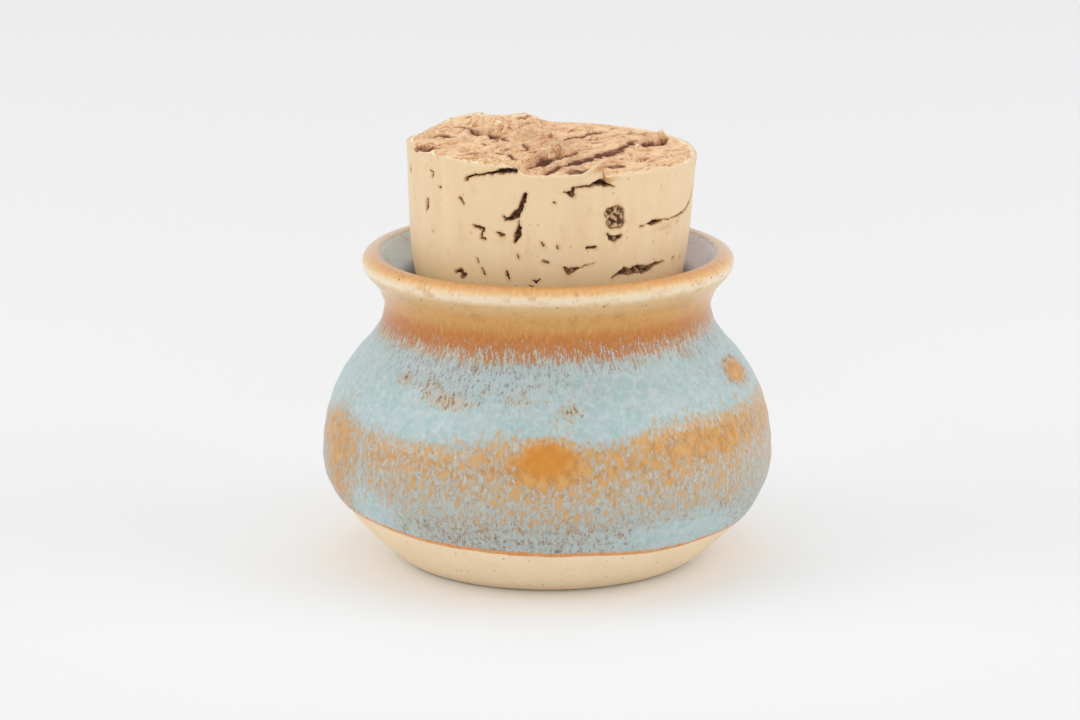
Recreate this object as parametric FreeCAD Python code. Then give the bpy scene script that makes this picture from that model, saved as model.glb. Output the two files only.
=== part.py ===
import FreeCAD, Part
import math
import os

# Corked stoneware jar: a squat thrown jar with a pulled-in neck and a rolled lip, and the tapered
# natural cork that stops its throat. Millimetres, +Z up. The jar stands on its foot at z = 0,
# centred on the Z axis, with its front towards -Y.

# Outside of the jar. Angles are taken from straight up, positive where the wall leans outwards.
foot_radius = 21.95
foot_edge_round = 0.8
foot_flare = 60.7            # lean of the trimmed wall where it leaves the foot
glaze_line_height = 8.2      # bare clay below, glaze above
glaze_line_tuck = 3.1        # how far the wall lies inside the belly at the glaze line
glaze_line_flare = 36.6
glaze_thickness = 0.35
belly_radius = 34.6
belly_rise = 7.85            # glaze line up to the widest part
shoulder_rise = 16.15        # belly up to where the curve turns from full to hollow
shoulder_lean = -42.0
shoulder_spread = 3.9        # shoulder turning point beyond the neck
neck_radius = 24.9
neck_rise = 7.35             # shoulder up to the narrowest part
lip_rise = 6.65              # neck up to the centre of the lip's round
lip_spread = 3.4             # lip beyond the neck
lip_round = 1.8
lip_underside = 41.0         # lean of the wall where it runs into the lip

# Inside of the jar.
wall = 4.6
neck_wall = 5.2
floor_thickness = 5.5
flare_lean = 35.0            # lean of the mouth just inside the lip

# How far each curve holds its heading at its two ends, in the order of the wall's walk.
foot_pulls = (4.35, 3.6)
hip_pulls = (2.9, 2.5)
belly_pulls = (6.8, 5.65)
neck_pulls = (2.7, 3.2)
lip_pulls = (2.15, 1.85)
flare_pulls = (4.2, 3.5)
throat_pulls = (3.0, 3.0)
inner_belly_pulls = (5.4, 6.2)
floor_pulls = (6.6, 7.0)

# Cork.
seat_gap = 0.2               # between the cork and the throat, all round
cork_taper = 6.25            # per side
cork_rise = 23.9             # above the throat, to the plain cut face
cork_depth = 13.5            # below the throat
cork_swell = 0.3             # how full the exposed flank is between its ends
cork_edge_cut = 0.9          # bevel round the lower face
cork_lean = 1.5              # how far the cork tips towards +X in its seat

# Torn upper face of the cork: a thicker bark layer is left on its -X side.
bark_step = 1.3              # thickness of the layer that stays
bark_line_offset = -1.5      # where the layer ends, along X
bark_line_slant = 0.22       # how the end of the layer drifts in X per millimetre of Y
bark_line_blur = 0.9
bark_ripple = 0.28           # height of the ripples left by the growth layers
bark_ripple_pitch = 8.6
bark_ripple_heading = 62.0   # the ripples' direction, from X
bark_grid = 25               # knots along each side of the torn face

# Derived heights and radii.
glaze_line_radius = belly_radius - glaze_line_tuck
belly_height = glaze_line_height + belly_rise
shoulder_height = belly_height + shoulder_rise
shoulder_radius = neck_radius + shoulder_spread
neck_height = shoulder_height + neck_rise
lip_height = neck_height + lip_rise
lip_centre_radius = neck_radius + lip_spread - lip_round
throat_radius = neck_radius - neck_wall
floor_radius = foot_radius - wall
cork_seat_radius = throat_radius - seat_gap
cork_slope = math.tan(math.radians(cork_taper))
cork_top_radius = cork_seat_radius + cork_rise * cork_slope
cork_bottom_radius = cork_seat_radius - cork_depth * cork_slope
cork_top_height = neck_height + cork_rise

# How much of a pore's or crack's opening is left at its bottom.
pit_floor_share = 0.45

# Pores and cracks in the cork's flank: angle round from the front towards +X, height above the
# throat, length, width, depth, and the angle of the long side from level.
front_pores = {
    "long_pore": (-11.0, 19.6, 4.4, 1.1, 1.6, 66.0),
    "round_pore": (27.0, 17.5, 3.4, 2.6, 1.3, 15.0),
    "slit": (46.7, 15.8, 3.6, 1.1, 1.5, 8.0),
    "edge_notch": (75.0, 16.2, 3.8, 1.0, 1.2, 35.0),
    "low_crack": (40.0, 8.6, 9.6, 1.7, 1.7, 7.0),
    "oval_pore": (-58.0, 17.6, 1.9, 1.2, 1.0, 70.0),
    "shoulder_pore": (-27.0, 15.0, 1.8, 1.0, 1.0, 35.0),
    "bark_crack": (-24.0, 24.2, 8.8, 0.8, 2.4, 17.0),
    "chip_crack": (18.0, 22.6, 5.6, 1.0, 1.8, 4.0),
}

# The back of the flank carries the same kinds of pores, spread by a steady turn and rise.
back_pore_count = 9
back_pore_first = 112.0
back_pore_turn = 19.0
back_pore_levels = (7.5, 17.0, 11.5, 20.0, 14.0)
back_pore_lengths = (2.2, 3.6, 1.6, 2.8)
back_pore_width = 0.95
back_pore_depth = 1.2
back_pore_tilts = (8.0, 64.0, 28.0)

# Flakes of bark left standing on the torn face: centre x, centre y, length, width, height, heading
# from X.
face_ridges = {
    "curled_ridge": (-8.2, 6.6, 17.0, 4.6, 0.6, 127.0),
    "lifted_flake": (15.4, 1.6, 10.0, 3.6, 0.55, 57.0),
}

# Fissures in the torn face: centre x, centre y, length, width, depth, heading from X.
face_fissures = {
    "centre_fissure": (-0.6, -8.2, 13.6, 0.8, 1.3, 57.0),
    "rear_fissure": (6.3, 9.2, 9.0, 0.6, 0.9, 42.0),
    "front_fissure": (6.4, -7.2, 17.0, 0.8, 1.3, 58.0),
    "side_fissure": (15.8, 3.2, 7.6, 0.9, 1.2, 52.0),
    "left_fissure": (-17.4, 6.6, 6.4, 0.8, 1.2, 36.0),
}


def at(radius, height):
    """A point of the jar's half section."""
    return FreeCAD.Vector(radius, 0, height)


def heading(lean):
    """The upward direction that leans outwards by this many degrees."""
    turn = math.radians(lean)
    return FreeCAD.Vector(math.sin(turn), 0, math.cos(turn))


def outward(lean):
    """The direction square to that heading, out of the wall."""
    turn = math.radians(lean)
    return FreeCAD.Vector(math.cos(turn), 0, -math.sin(turn))


def bend(start, start_way, end, end_way, pulls):
    """A curve between two points that leaves and arrives along the given ways."""
    curve = Part.BezierCurve()
    curve.setPoles([start, start + start_way * pulls[0], end - end_way * pulls[1], end])
    return curve.toShape()


def line(start, end):
    return Part.LineSegment(start, end).toShape()


def arc(start, middle, end):
    return Part.Arc(start, middle, end).toShape()


def glaze_bead(corner, lean):
    """The rounded edge where the glaze stops: from the bare clay out to the glazed wall."""
    along = heading(lean) * glaze_thickness
    across = outward(lean) * glaze_thickness
    clay_end = corner - across
    glaze_start = corner + along
    centre = clay_end + along
    crown = centre + (across - along) * math.sqrt(0.5)
    return clay_end, arc(clay_end, crown, glaze_start), glaze_start


def outer_wall():
    """Outside of the jar from the foot's edge up to the underside of the lip."""
    foot_edge = at(foot_radius, 0)
    corner = at(glaze_line_radius, glaze_line_height)
    belly = at(belly_radius, belly_height)
    shoulder = at(shoulder_radius, shoulder_height)
    neck = at(neck_radius, neck_height)
    lip_start = at(lip_centre_radius, lip_height) + outward(lip_underside) * lip_round
    clay_end, bead, glaze_start = glaze_bead(corner, glaze_line_flare)
    return [
        bend(foot_edge, heading(foot_flare), clay_end, heading(glaze_line_flare), foot_pulls),
        bead,
        bend(glaze_start, heading(glaze_line_flare), belly, heading(0), hip_pulls),
        bend(belly, heading(0), shoulder, heading(shoulder_lean), belly_pulls),
        bend(shoulder, heading(shoulder_lean), neck, heading(0), neck_pulls),
        bend(neck, heading(0), lip_start, heading(lip_underside), lip_pulls),
    ]


def lip():
    """The rolled lip: one round from the wall's underside over the crest to the mouth."""
    centre = at(lip_centre_radius, lip_height)
    start = centre + outward(lip_underside) * lip_round
    crest = at(lip_centre_radius, lip_height + lip_round)
    end = centre - outward(flare_lean) * lip_round
    return end, arc(start, crest, end)


def inner_wall(mouth):
    """Inside of the jar from the mouth down through the throat to the middle of the floor."""
    down = -1.0
    throat = at(throat_radius, neck_height)
    shoulder = at(shoulder_radius, shoulder_height) - outward(shoulder_lean) * wall
    belly = at(belly_radius - wall, belly_height)
    floor_edge = at(floor_radius, floor_thickness)
    inward = FreeCAD.Vector(-1, 0, 0)
    return [
        bend(mouth, heading(flare_lean) * down, throat, heading(0) * down, flare_pulls),
        bend(throat, heading(0) * down, shoulder, heading(shoulder_lean) * down, throat_pulls),
        bend(shoulder, heading(shoulder_lean) * down, belly, heading(0) * down, inner_belly_pulls),
        bend(belly, heading(0) * down, floor_edge, inward, floor_pulls),
        line(floor_edge, at(0, floor_thickness)),
    ]


def revolve(edges):
    """Turn a closed half section about the jar's axis."""
    face = Part.Face(Part.Wire(edges))
    return face.revolve(FreeCAD.Vector(0, 0, 0), FreeCAD.Vector(0, 0, 1), 360)


def ring_edge(solid, radius, height):
    """The circular edge of this radius at this height."""
    for edge in solid.Edges:
        if isinstance(edge.Curve, Part.Circle):
            same_radius = abs(edge.Curve.Radius - radius) < 0.01
            same_height = abs(edge.Curve.Center.z - height) < 0.01
            if same_radius and same_height:
                return edge
    return None


def jar_body():
    """The hollow jar, with the edge of its foot softened."""
    mouth, lip_edge = lip()
    edges = [line(at(0, 0), at(foot_radius, 0))]
    edges += outer_wall()
    edges.append(lip_edge)
    edges += inner_wall(mouth)
    edges.append(line(at(0, floor_thickness), at(0, 0)))
    solid = revolve(edges)
    foot_edge = ring_edge(solid, foot_radius, 0)
    return solid.makeFillet(foot_edge_round, [foot_edge])


def cork_blank():
    """The turned cork: a plain taper in the throat and a slightly full flank above it."""
    bottom_height = neck_height - cork_depth
    bottom = at(0, bottom_height)
    bevel_start = at(cork_bottom_radius - cork_edge_cut, bottom_height)
    bevel_end = at(cork_bottom_radius + cork_edge_cut * cork_slope, bottom_height + cork_edge_cut)
    seat = at(cork_seat_radius, neck_height)
    spare = bark_step * 2
    top_edge = at(cork_top_radius + spare * cork_slope, cork_top_height + spare)
    top = at(0, cork_top_height + spare)
    middle = (seat + top_edge) * 0.5 + outward(cork_taper) * cork_swell
    return revolve([
        line(bottom, bevel_start),
        line(bevel_start, bevel_end),
        line(bevel_end, seat),
        arc(seat, middle, top_edge),
        line(top_edge, top),
        line(top, bottom),
    ])


def ridge_height(x, y, ridge):
    """How far a standing flake lifts the torn face at this place."""
    centre_x, centre_y, length, width, height, tilt = ridge
    turn = math.radians(tilt)
    along = (x - centre_x) * math.cos(turn) + (y - centre_y) * math.sin(turn)
    across = (y - centre_y) * math.cos(turn) - (x - centre_x) * math.sin(turn)
    reach = (2 * along / length) ** 4 + (2 * across / width) ** 2
    return height * math.exp(-reach)


def bark_height(x, y):
    """Height of the torn face: the layer that stays on one side, with ripples and flakes on it."""
    beyond = (x - bark_line_offset - bark_line_slant * y) / bark_line_blur
    layer = bark_step / (1 + math.exp(max(-30.0, min(30.0, beyond))))
    turn = math.radians(bark_ripple_heading)
    across = y * math.cos(turn) - x * math.sin(turn)
    along = x * math.cos(turn) + y * math.sin(turn)
    phase = 2 * math.pi * across / bark_ripple_pitch
    ripple = math.sin(phase + 0.9 * math.sin(along / bark_ripple_pitch))
    flakes = sum(ridge_height(x, y, ridge) for ridge in face_ridges.values())
    return cork_top_height + layer + bark_ripple * ripple + flakes


def torn_face_cutter():
    """Everything above the torn face, wider than the cork all round."""
    reach = cork_top_radius * 1.25
    step = 2 * reach / (bark_grid - 1)
    spots = [-reach + step * index for index in range(bark_grid)]
    rows = [[FreeCAD.Vector(x, y, bark_height(x, y)) for y in spots] for x in spots]
    surface = Part.BSplineSurface()
    surface.interpolate(rows)
    return surface.toShape().extrude(FreeCAD.Vector(0, 0, bark_step * 6))


def lens(length, width, height):
    """A pointed oval in a level plane, long along X."""
    near = FreeCAD.Vector(-length / 2, 0, height)
    far = FreeCAD.Vector(length / 2, 0, height)
    left = FreeCAD.Vector(0, width / 2, height)
    right = FreeCAD.Vector(0, -width / 2, height)
    return Part.Wire([arc(near, left, far), arc(far, right, near)])


def pit(length, width, depth):
    """A cutter of this size at z = 0, narrowing to its bottom and as tall above as below."""
    wide = 2 - pit_floor_share
    top = lens(length * wide, width * wide, depth)
    bottom = lens(length * pit_floor_share, width * pit_floor_share, -depth)
    return Part.makeLoft([top, bottom], True, True)


def flank_radius(height):
    """Radius of the cork's flank at a height above the throat."""
    share = height / cork_rise
    fullness = 4 * share * (1 - share) * cork_swell
    return cork_seat_radius + height * cork_slope + fullness


def flank_pit(angle, height, length, width, depth, tilt):
    """A pore in the flank."""
    cutter = pit(length, width, depth)
    cutter.rotate(FreeCAD.Vector(0, 0, 0), FreeCAD.Vector(0, 0, 1), tilt)
    cutter.rotate(FreeCAD.Vector(0, 0, 0), FreeCAD.Vector(1, 0, 0), 90)
    cutter.translate(FreeCAD.Vector(0, -flank_radius(height), neck_height + height))
    cutter.rotate(FreeCAD.Vector(0, 0, 0), FreeCAD.Vector(0, 0, 1), angle)
    return cutter


def face_pit(x, y, length, width, depth, tilt):
    """A fissure in the torn face."""
    cutter = pit(length, width, depth)
    cutter.rotate(FreeCAD.Vector(0, 0, 0), FreeCAD.Vector(0, 0, 1), tilt)
    cutter.translate(FreeCAD.Vector(x, y, bark_height(x, y)))
    return cutter


def back_pores():
    """Pores round the back, one after another round the flank."""
    pores = []
    for index in range(back_pore_count):
        angle = back_pore_first + index * back_pore_turn
        height = back_pore_levels[index % len(back_pore_levels)]
        length = back_pore_lengths[index % len(back_pore_lengths)]
        tilt = back_pore_tilts[index % len(back_pore_tilts)]
        pores.append(flank_pit(angle, height, length, back_pore_width, back_pore_depth, tilt))
    return pores


def cork():
    """The cork as it sits: torn across its upper face, pored, and tipped a little in the throat."""
    pits = [flank_pit(*sizes) for sizes in front_pores.values()]
    pits += [face_pit(*sizes) for sizes in face_fissures.values()]
    pits += back_pores()
    solid = cork_blank().cut([torn_face_cutter()] + pits)
    solid.rotate(at(0, neck_height), FreeCAD.Vector(0, 1, 0), cork_lean)
    return solid


def export(name, shape):
    """Write one node as the single solid that it is."""
    solid = shape.Solids[0]
    print(name, "solids", len(shape.Solids), "valid", solid.isValid(), "cm3", round(solid.Volume / 1000, 3))
    solid.exportStep("parts/" + name + ".step")


os.makedirs("parts", exist_ok=True)
export("jar_body", jar_body())
export("cork", cork())
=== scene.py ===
import bmesh
import bpy
import random
from math import atan2, ceil, cos, degrees, exp, floor, hypot, pi, radians, sin, tan, tau
from mathutils import Matrix, Vector, geometry, noise


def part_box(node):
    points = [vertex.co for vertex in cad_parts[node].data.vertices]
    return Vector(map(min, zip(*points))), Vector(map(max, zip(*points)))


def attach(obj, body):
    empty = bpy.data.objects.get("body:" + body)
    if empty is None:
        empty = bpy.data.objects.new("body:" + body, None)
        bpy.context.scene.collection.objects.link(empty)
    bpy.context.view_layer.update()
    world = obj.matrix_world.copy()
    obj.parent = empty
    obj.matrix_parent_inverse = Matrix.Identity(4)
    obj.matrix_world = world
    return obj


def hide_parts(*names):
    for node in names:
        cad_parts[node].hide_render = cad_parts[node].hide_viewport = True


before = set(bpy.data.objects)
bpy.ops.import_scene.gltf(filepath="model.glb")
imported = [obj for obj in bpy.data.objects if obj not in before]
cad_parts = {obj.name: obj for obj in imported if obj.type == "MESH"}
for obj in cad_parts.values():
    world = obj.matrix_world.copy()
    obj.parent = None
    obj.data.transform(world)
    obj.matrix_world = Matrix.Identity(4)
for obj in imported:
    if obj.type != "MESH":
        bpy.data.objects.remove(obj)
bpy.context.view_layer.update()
lipTop = 48.0  # millimetres from the foot to the top of the lip
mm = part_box("jar_body")[1].z / lipTop
print("frame loaded, one millimetre is", mm)


def rise(low, high, value):
    # 0 below low, 1 above high, smooth between; low may be the larger one
    share = min(1.0, max(0.0, (value - low) / (high - low)))
    return share * share * (3 - 2 * share)


def along(stops, place):
    # value of a smooth line through (place, value) stops
    if place <= stops[0][0]:
        return stops[0][1]
    for (low, start), (high, end) in zip(stops, stops[1:]):
        if place <= high:
            return start + (end - start) * rise(low, high, place)
    return stops[-1][1]


def turnBetween(first, second):
    # degrees from one angle to another, the short way round
    return (second - first + 180.0) % 360.0 - 180.0


def rough(x, y, z, size):
    # gentle noise from -1 to 1 with lumps of this size
    return noise.noise(Vector((x, y, z)) / size)


def onDrum(angle, radius, height):
    # where a point stands once it is moved to a drum of this radius
    turn = radians(angle)
    return (radius * sin(turn), radius * cos(turn), height)


def shade(red, green, blue):
    # a colour from its 0 to 255 screen values
    def linear(value):
        value = value / 255
        return value / 12.92 if value < 0.04045 else ((value + 0.055) / 1.055) ** 2.4
    return (linear(red), linear(green), linear(blue), 1.0)


class Wire:
    # a node socket that can be used in sums
    def __init__(self, paint, socket):
        self.paint = paint
        self.socket = socket

    def sum(self, operation, first, second):
        return self.paint.node("ShaderNodeMath", {"operation": operation}, {0: first, 1: second})

    def __add__(self, other):
        return self.sum("ADD", self, other)

    def __radd__(self, other):
        return self.sum("ADD", other, self)

    def __sub__(self, other):
        return self.sum("SUBTRACT", self, other)

    def __rsub__(self, other):
        return self.sum("SUBTRACT", other, self)

    def __mul__(self, other):
        return self.sum("MULTIPLY", self, other)

    def __rmul__(self, other):
        return self.sum("MULTIPLY", other, self)


class Paint:
    # the nodes of one material, or of the world
    def __init__(self, owner):
        self.material = owner
        owner.use_nodes = True
        self.tree = owner.node_tree
        self.tree.nodes.clear()

    def node(self, kind, settings=None, inputs=None, output=0):
        made = self.tree.nodes.new(kind)
        for name, value in (settings or {}).items():
            if name == "stops":
                self.setStops(made.color_ramp, value)
            else:
                setattr(made, name, value)
        for name, value in (inputs or {}).items():
            if isinstance(value, Wire):
                self.tree.links.new(value.socket, made.inputs[name])
            else:
                made.inputs[name].default_value = value
        return Wire(self, made.outputs[output]) if made.outputs else None

    def setStops(self, ramp, stops):
        while len(ramp.elements) < len(stops):
            ramp.elements.new(1.0)
        for element, (place, colour) in zip(ramp.elements, stops):
            element.position = place
            element.color = shade(*colour)

    def field(self, name, output=2):
        # a value stored on the mesh; output 1 reads it as a vector
        return self.node("ShaderNodeAttribute", {"attribute_name": name}, {}, output)

    def stretch(self, vector, scale):
        return self.node("ShaderNodeMapping", {}, {"Vector": vector, "Scale": scale})

    def cloud(self, vector, scale, detail=2.0, roughness=0.5):
        place = self.stretch(vector, scale)
        sizes = {"Vector": place, "Scale": 1.0, "Detail": detail, "Roughness": roughness}
        return self.node("ShaderNodeTexNoise", {}, sizes)

    def ramp(self, value, stops):
        return self.node("ShaderNodeValToRGB", {"stops": stops}, {"Fac": value})

    def step(self, value, low, high, start=0.0, end=1.0):
        # smooth rise from start at low to end at high
        ends = {"Value": value, "From Min": low, "From Max": high, "To Min": start, "To Max": end}
        return self.node("ShaderNodeMapRange", {"interpolation_type": "SMOOTHSTEP"}, ends)

    def mix(self, share, first, second):
        # each colour is a wire, or its 0 to 255 screen values
        ends = [colour if isinstance(colour, Wire) else shade(*colour) for colour in (first, second)]
        return self.node("ShaderNodeMix", {"data_type": "RGBA"}, {0: share, 6: ends[0], 7: ends[1]}, 2)

    def wash(self, under, over, value, low, high, most=1.0):
        # lays one colour over another as the value goes from low to high
        return self.mix(self.step(value, low, high, 0.0, most), under, over)

    def finish(self, colour, roughness, heights, settings):
        # heights: (height, depth in metres, strength) for each layer of relief
        normal = None
        for height, depth, strength in heights:
            links = {"Height": height, "Distance": depth, "Strength": strength}
            if normal:
                links["Normal"] = normal
            normal = self.node("ShaderNodeBump", {}, links)
        inputs = {"Base Color": colour, "Roughness": roughness, **settings}
        if normal:
            inputs["Normal"] = normal
        shader = self.node("ShaderNodeBsdfPrincipled", {}, inputs)
        self.node("ShaderNodeOutputMaterial", {}, {"Surface": shader})
        return self.material


def keepPiece(name, mesh, material, nodeName):
    piece = bpy.data.objects.new(name, mesh)
    bpy.context.scene.collection.objects.link(piece)
    mesh.materials.append(material)
    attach(piece, "root")
    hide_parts(nodeName)
    triangles = sum(len(face.vertices) - 2 for face in mesh.polygons)
    print(name, "has", triangles, "triangles")


def at(radius, height):
    # a point of the half section
    return Vector((radius, 0, height))


def leaning(lean):
    # upward direction in the half section, leaning outwards
    turn = radians(lean)
    return at(sin(turn), cos(turn))


def outFrom(lean):
    # square to that, out of the wall
    turn = radians(lean)
    return at(cos(turn), -sin(turn))


def curve(start, startWay, end, endWay, pulls, spacing):
    first = start + startWay * pulls[0]
    second = end - endWay * pulls[1]
    count = max(3, ceil((end - start).length / spacing) + 1)
    return geometry.interpolate_bezier(start, first, second, end, count)


def lathe(section, steps):
    # spins a half section, given in millimetres, and keeps how far along it each point lies
    shape = bmesh.new()
    walk = shape.verts.layers.float.new("walk")
    last = None
    length = 0.0
    for point in section:
        corner = shape.verts.new(point)
        if last:
            length += (corner.co - last.co).length
            shape.edges.new((last, corner))
        corner[walk] = length
        last = corner
    bmesh.ops.spin(
        shape, geom=shape.verts[:] + shape.edges[:], cent=(0, 0, 0), axis=(0, 0, 1),
        angle=tau, steps=steps, use_merge=True)
    bmesh.ops.remove_doubles(shape, verts=shape.verts, dist=0.001)
    bmesh.ops.recalc_face_normals(shape, faces=shape.faces)
    return shape, walk


def addFields(shape, names):
    # one number a point for each name
    return [shape.verts.layers.float.new(name) for name in names]


def closeUp(shape, name):
    # millimetres to metres, smooth faces, and a mesh of it
    bmesh.ops.scale(shape, vec=(mm, mm, mm), verts=shape.verts)
    for face in shape.faces:
        face.smooth = True
    mesh = bpy.data.meshes.new(name)
    shape.to_mesh(mesh)
    shape.free()
    return mesh


jarSizes = {
    "footRadius": 21.95, "footRound": 0.8, "footFlare": 60.7,
    "lineRadius": 31.5, "lineHeight": 8.2, "lineFlare": 36.6,
    "bellyRadius": 34.6, "bellyHeight": 16.05,
    "shoulderRadius": 28.8, "shoulderHeight": 32.2, "shoulderLean": -42.0,
    "neckRadius": 24.9, "neckHeight": 39.55,
    "lipCentre": 26.5, "lipHeight": 46.2, "lipRound": 1.8, "lipUnderside": 41.0, "lipSteps": 26,
    "mouthLean": 35.0, "throatRadius": 19.7,
    "wall": 4.6, "floor": 5.5,
    "steps": 360,
    "glaze": 0.35,  # thickness, seen as a step above the bare clay
    "glazeRoll": 0.12,  # bead where the glaze gathered
    "lineTilt": 1.96,  # the glaze stops lower on one side
    "lineTiltAngle": 40.0,
    "lineMiddle": 9.46, "lineRipple": 0.3, "lineShiver": 0.12,
    "fringe": 0.5, "fringeSwing": 0.3, "fringeTurn": 12.0,  # width of the orange line at the glaze edge
    "rust": 0.25,  # orange in the amber where no patch adds to it
    "wobble": 0.1,  # out of round, from the hand
    "throwingRing": 0.035, "ringSpacing": 3.1,
    "flatAngle": -88.0, "flatHalf": 34.0, "flatDepth": 0.5, "flatTop": 14.0, "flatFull": 9.0,
    "bump": 0.28, "bumpLift": 0.15, "bumpAngle": 31.0, "bumpHalf": 2.2, "bumpLevel": 47.2, "bumpRise": 0.9,
    "lipSway": 0.12, "lipWave": 0.1,
    "wrapRadius": 30.0,  # radius at which the glaze pattern is wrapped round
}
jarFields = ("level", "amber", "rust", "lilac", "aboveLine", "fringeWidth")

# soft patches of the glaze: angle from the front, height, half width in degrees, half height, amount
amberPatches = {
    "leftColumn": (-69, 23.0, 8, 7.0, 0.16),
    "leftColumnLow": (-66, 14.5, 6, 5.0, 0.27),
    "leftEdge": (-92, 21.0, 10, 8.0, -0.25),
    "leftGap": (-54.5, 20.5, 3.5, 5.0, -0.14),
    "leftOchre": (-33, 21.5, 20, 3.0, -0.03),
    "frontDrop": (-0.5, 23.2, 6.0, 2.4, 0.8),
    "frontDropTail": (-2.0, 20.4, 7.0, 2.4, 0.16),
    "rightGlow": (46, 24.2, 19, 2.3, 0.22),
    "rightBody": (38, 20.5, 28, 4.5, 0.04),
    "leftHaze": (-32, 32.2, 28, 2.6, 0.12),
    "rightSpot": (73, 31.0, 7, 1.6, 1.1),
    "rightPool": (39, 9.8, 15, 2.4, -0.4),
    "leftPool": (-53, 11.6, 9, 3.2, -0.34),
    "leftLight": (-39, 26.8, 15, 2.4, -0.3),
    "frontLight": (16, 27.4, 8, 1.7, -0.25),
    "speckA": (-30, 30.3, 7.5, 1.2, 0.42),
    "speckB": (-48, 32.2, 3.5, 0.9, 0.34),
    "speckC": (-37, 32.2, 2.5, 0.7, 0.3),
    "speckD": (-9, 31.2, 4.5, 0.9, 0.22),
    "speckE": (6, 29.9, 4, 1.4, 0.34),
    "speckF": (53, 35.0, 3, 0.9, 0.26),
    "backColumn": (176, 18.0, 8, 6.0, 0.27),
    "backOchre": (-140, 22.0, 22, 3.4, 0.12),
    "backDrop": (128, 23.0, 9, 3.8, 0.45),
    "backPool": (-110, 11.0, 12, 2.4, -0.35),
    "backPoolTwo": (150, 10.5, 14, 2.2, -0.3),
    "backLight": (-165, 27.0, 14, 2.2, -0.25),
    "backSpeckA": (105, 31.0, 6, 1.2, 0.3),
    "backSpeckB": (-125, 30.5, 5, 1.1, 0.3),
    "backSpeckC": (-155, 32.5, 4, 0.9, 0.3),
}
rustPatches = {
    "rightSpot": (73, 31.0, 9, 2.0, -0.25),
    "leftColumn": (-66, 20.0, 8, 8.0, 0.15),
    "frontDrop": (-0.5, 23.4, 6.0, 2.2, 1.1),
    "rightGlow": (48, 24.0, 18, 2.6, 0.15),
    "backColumn": (176, 18.0, 8, 6.0, 0.3),
    "backDrop": (128, 23.0, 9, 4.0, 0.7),
}
lilacPatches = {
    "rightPool": (39, 9.8, 16, 2.6, -0.9),
    "leftPool": (-52, 11.8, 9, 3.0, -0.8),
    "backPool": (-110, 11.0, 12, 2.4, -0.8),
    "backPoolTwo": (150, 10.5, 14, 2.2, -0.8),
    "leftLight": (-38, 27.0, 16, 3.2, -0.5),
    "rightShoulder": (43, 34.3, 10, 2.2, -0.4),
    "leftShoulder": (-71, 32.0, 14, 5.0, -0.5),
    "frontHaze": (-28, 33.5, 26, 2.4, 0.45),
    "leftColumn": (-68, 20.0, 9, 8.0, 0.5),
}


def patchSum(patches, angle, height):
    total = 0.0
    for centre, level, halfTurn, halfRise, amount in patches.values():
        across = turnBetween(centre, angle) / halfTurn
        up = (height - level) / halfRise
        reach = across * across + up * up
        if reach < 6.0:
            total += amount * exp(-0.9 * reach)
    return total


def glazeLine(angle):
    # height at which the glaze stops
    s = jarSizes
    tilt = s["lineTilt"] * cos(radians(angle - s["lineTiltAngle"]))
    ripple = s["lineRipple"] * rough(*onDrum(angle, 3, 5.0), 1.0)
    ripple += s["lineShiver"] * rough(*onDrum(angle, 9, 2.0), 1.0)
    return s["lineMiddle"] - tilt + ripple


def jarSection():
    s = jarSizes
    up = leaning(0)
    lipCentre = at(s["lipCentre"], s["lipHeight"])
    footRim = at(s["footRadius"], 0)
    footIn = at(s["footRadius"] - s["footRound"], 0)
    footUp = footRim + leaning(s["footFlare"]) * s["footRound"]
    line = at(s["lineRadius"], s["lineHeight"])
    belly = at(s["bellyRadius"], s["bellyHeight"])
    shoulder = at(s["shoulderRadius"], s["shoulderHeight"])
    neck = at(s["neckRadius"], s["neckHeight"])
    lipStart = lipCentre + outFrom(s["lipUnderside"]) * s["lipRound"]
    mouth = lipCentre - outFrom(s["mouthLean"]) * s["lipRound"]
    throat = at(s["throatRadius"], s["neckHeight"])
    innerShoulder = shoulder - outFrom(s["shoulderLean"]) * s["wall"]
    innerBelly = belly - at(s["wall"], 0)
    floorEdge = at(s["footRadius"] - s["wall"], s["floor"])
    flare = leaning(s["footFlare"])
    outward = at(1, 0)
    lipArc = []
    lipTurn = 180 + s["lipUnderside"] - s["mouthLean"]
    for index in range(s["lipSteps"] + 1):
        turn = radians(-s["lipUnderside"] + index * lipTurn / s["lipSteps"])
        lipArc.append(lipCentre + at(cos(turn), sin(turn)) * s["lipRound"])
    runs = [
        [at(s["footRadius"] * share / 10, 0) for share in range(10)],
        curve(footIn, outward, footUp, flare, (0.5, 0.5), 0.3),
        curve(footUp, flare, line, leaning(s["lineFlare"]), (3.6, 3.6), 0.24),
        curve(line, leaning(s["lineFlare"]), belly, up, (2.9, 2.5), 0.3),
        curve(belly, up, shoulder, leaning(s["shoulderLean"]), (6.8, 5.65), 0.4),
        curve(shoulder, leaning(s["shoulderLean"]), neck, up, (2.7, 3.2), 0.33),
        curve(neck, up, lipStart, leaning(s["lipUnderside"]), (2.15, 1.85), 0.3),
        lipArc,
        curve(mouth, -leaning(s["mouthLean"]), throat, -up, (4.2, 3.5), 0.4),
        curve(throat, -up, innerShoulder, -leaning(s["shoulderLean"]), (3.0, 3.0), 1.2),
        curve(innerShoulder, -leaning(s["shoulderLean"]), innerBelly, -up, (5.4, 6.2), 1.6),
        curve(innerBelly, -up, floorEdge, -outward, (6.6, 7.0), 1.6),
        [floorEdge * (1 - share / 8) + at(0, s["floor"]) * (share / 8) for share in range(1, 9)],
    ]
    section = []
    for run in runs:
        for point in run:
            if not section or (point - section[-1]).length > 0.02:
                section.append(point)
    crest = max(range(len(section)), key=lambda index: section[index].z)
    return section, crest


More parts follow.
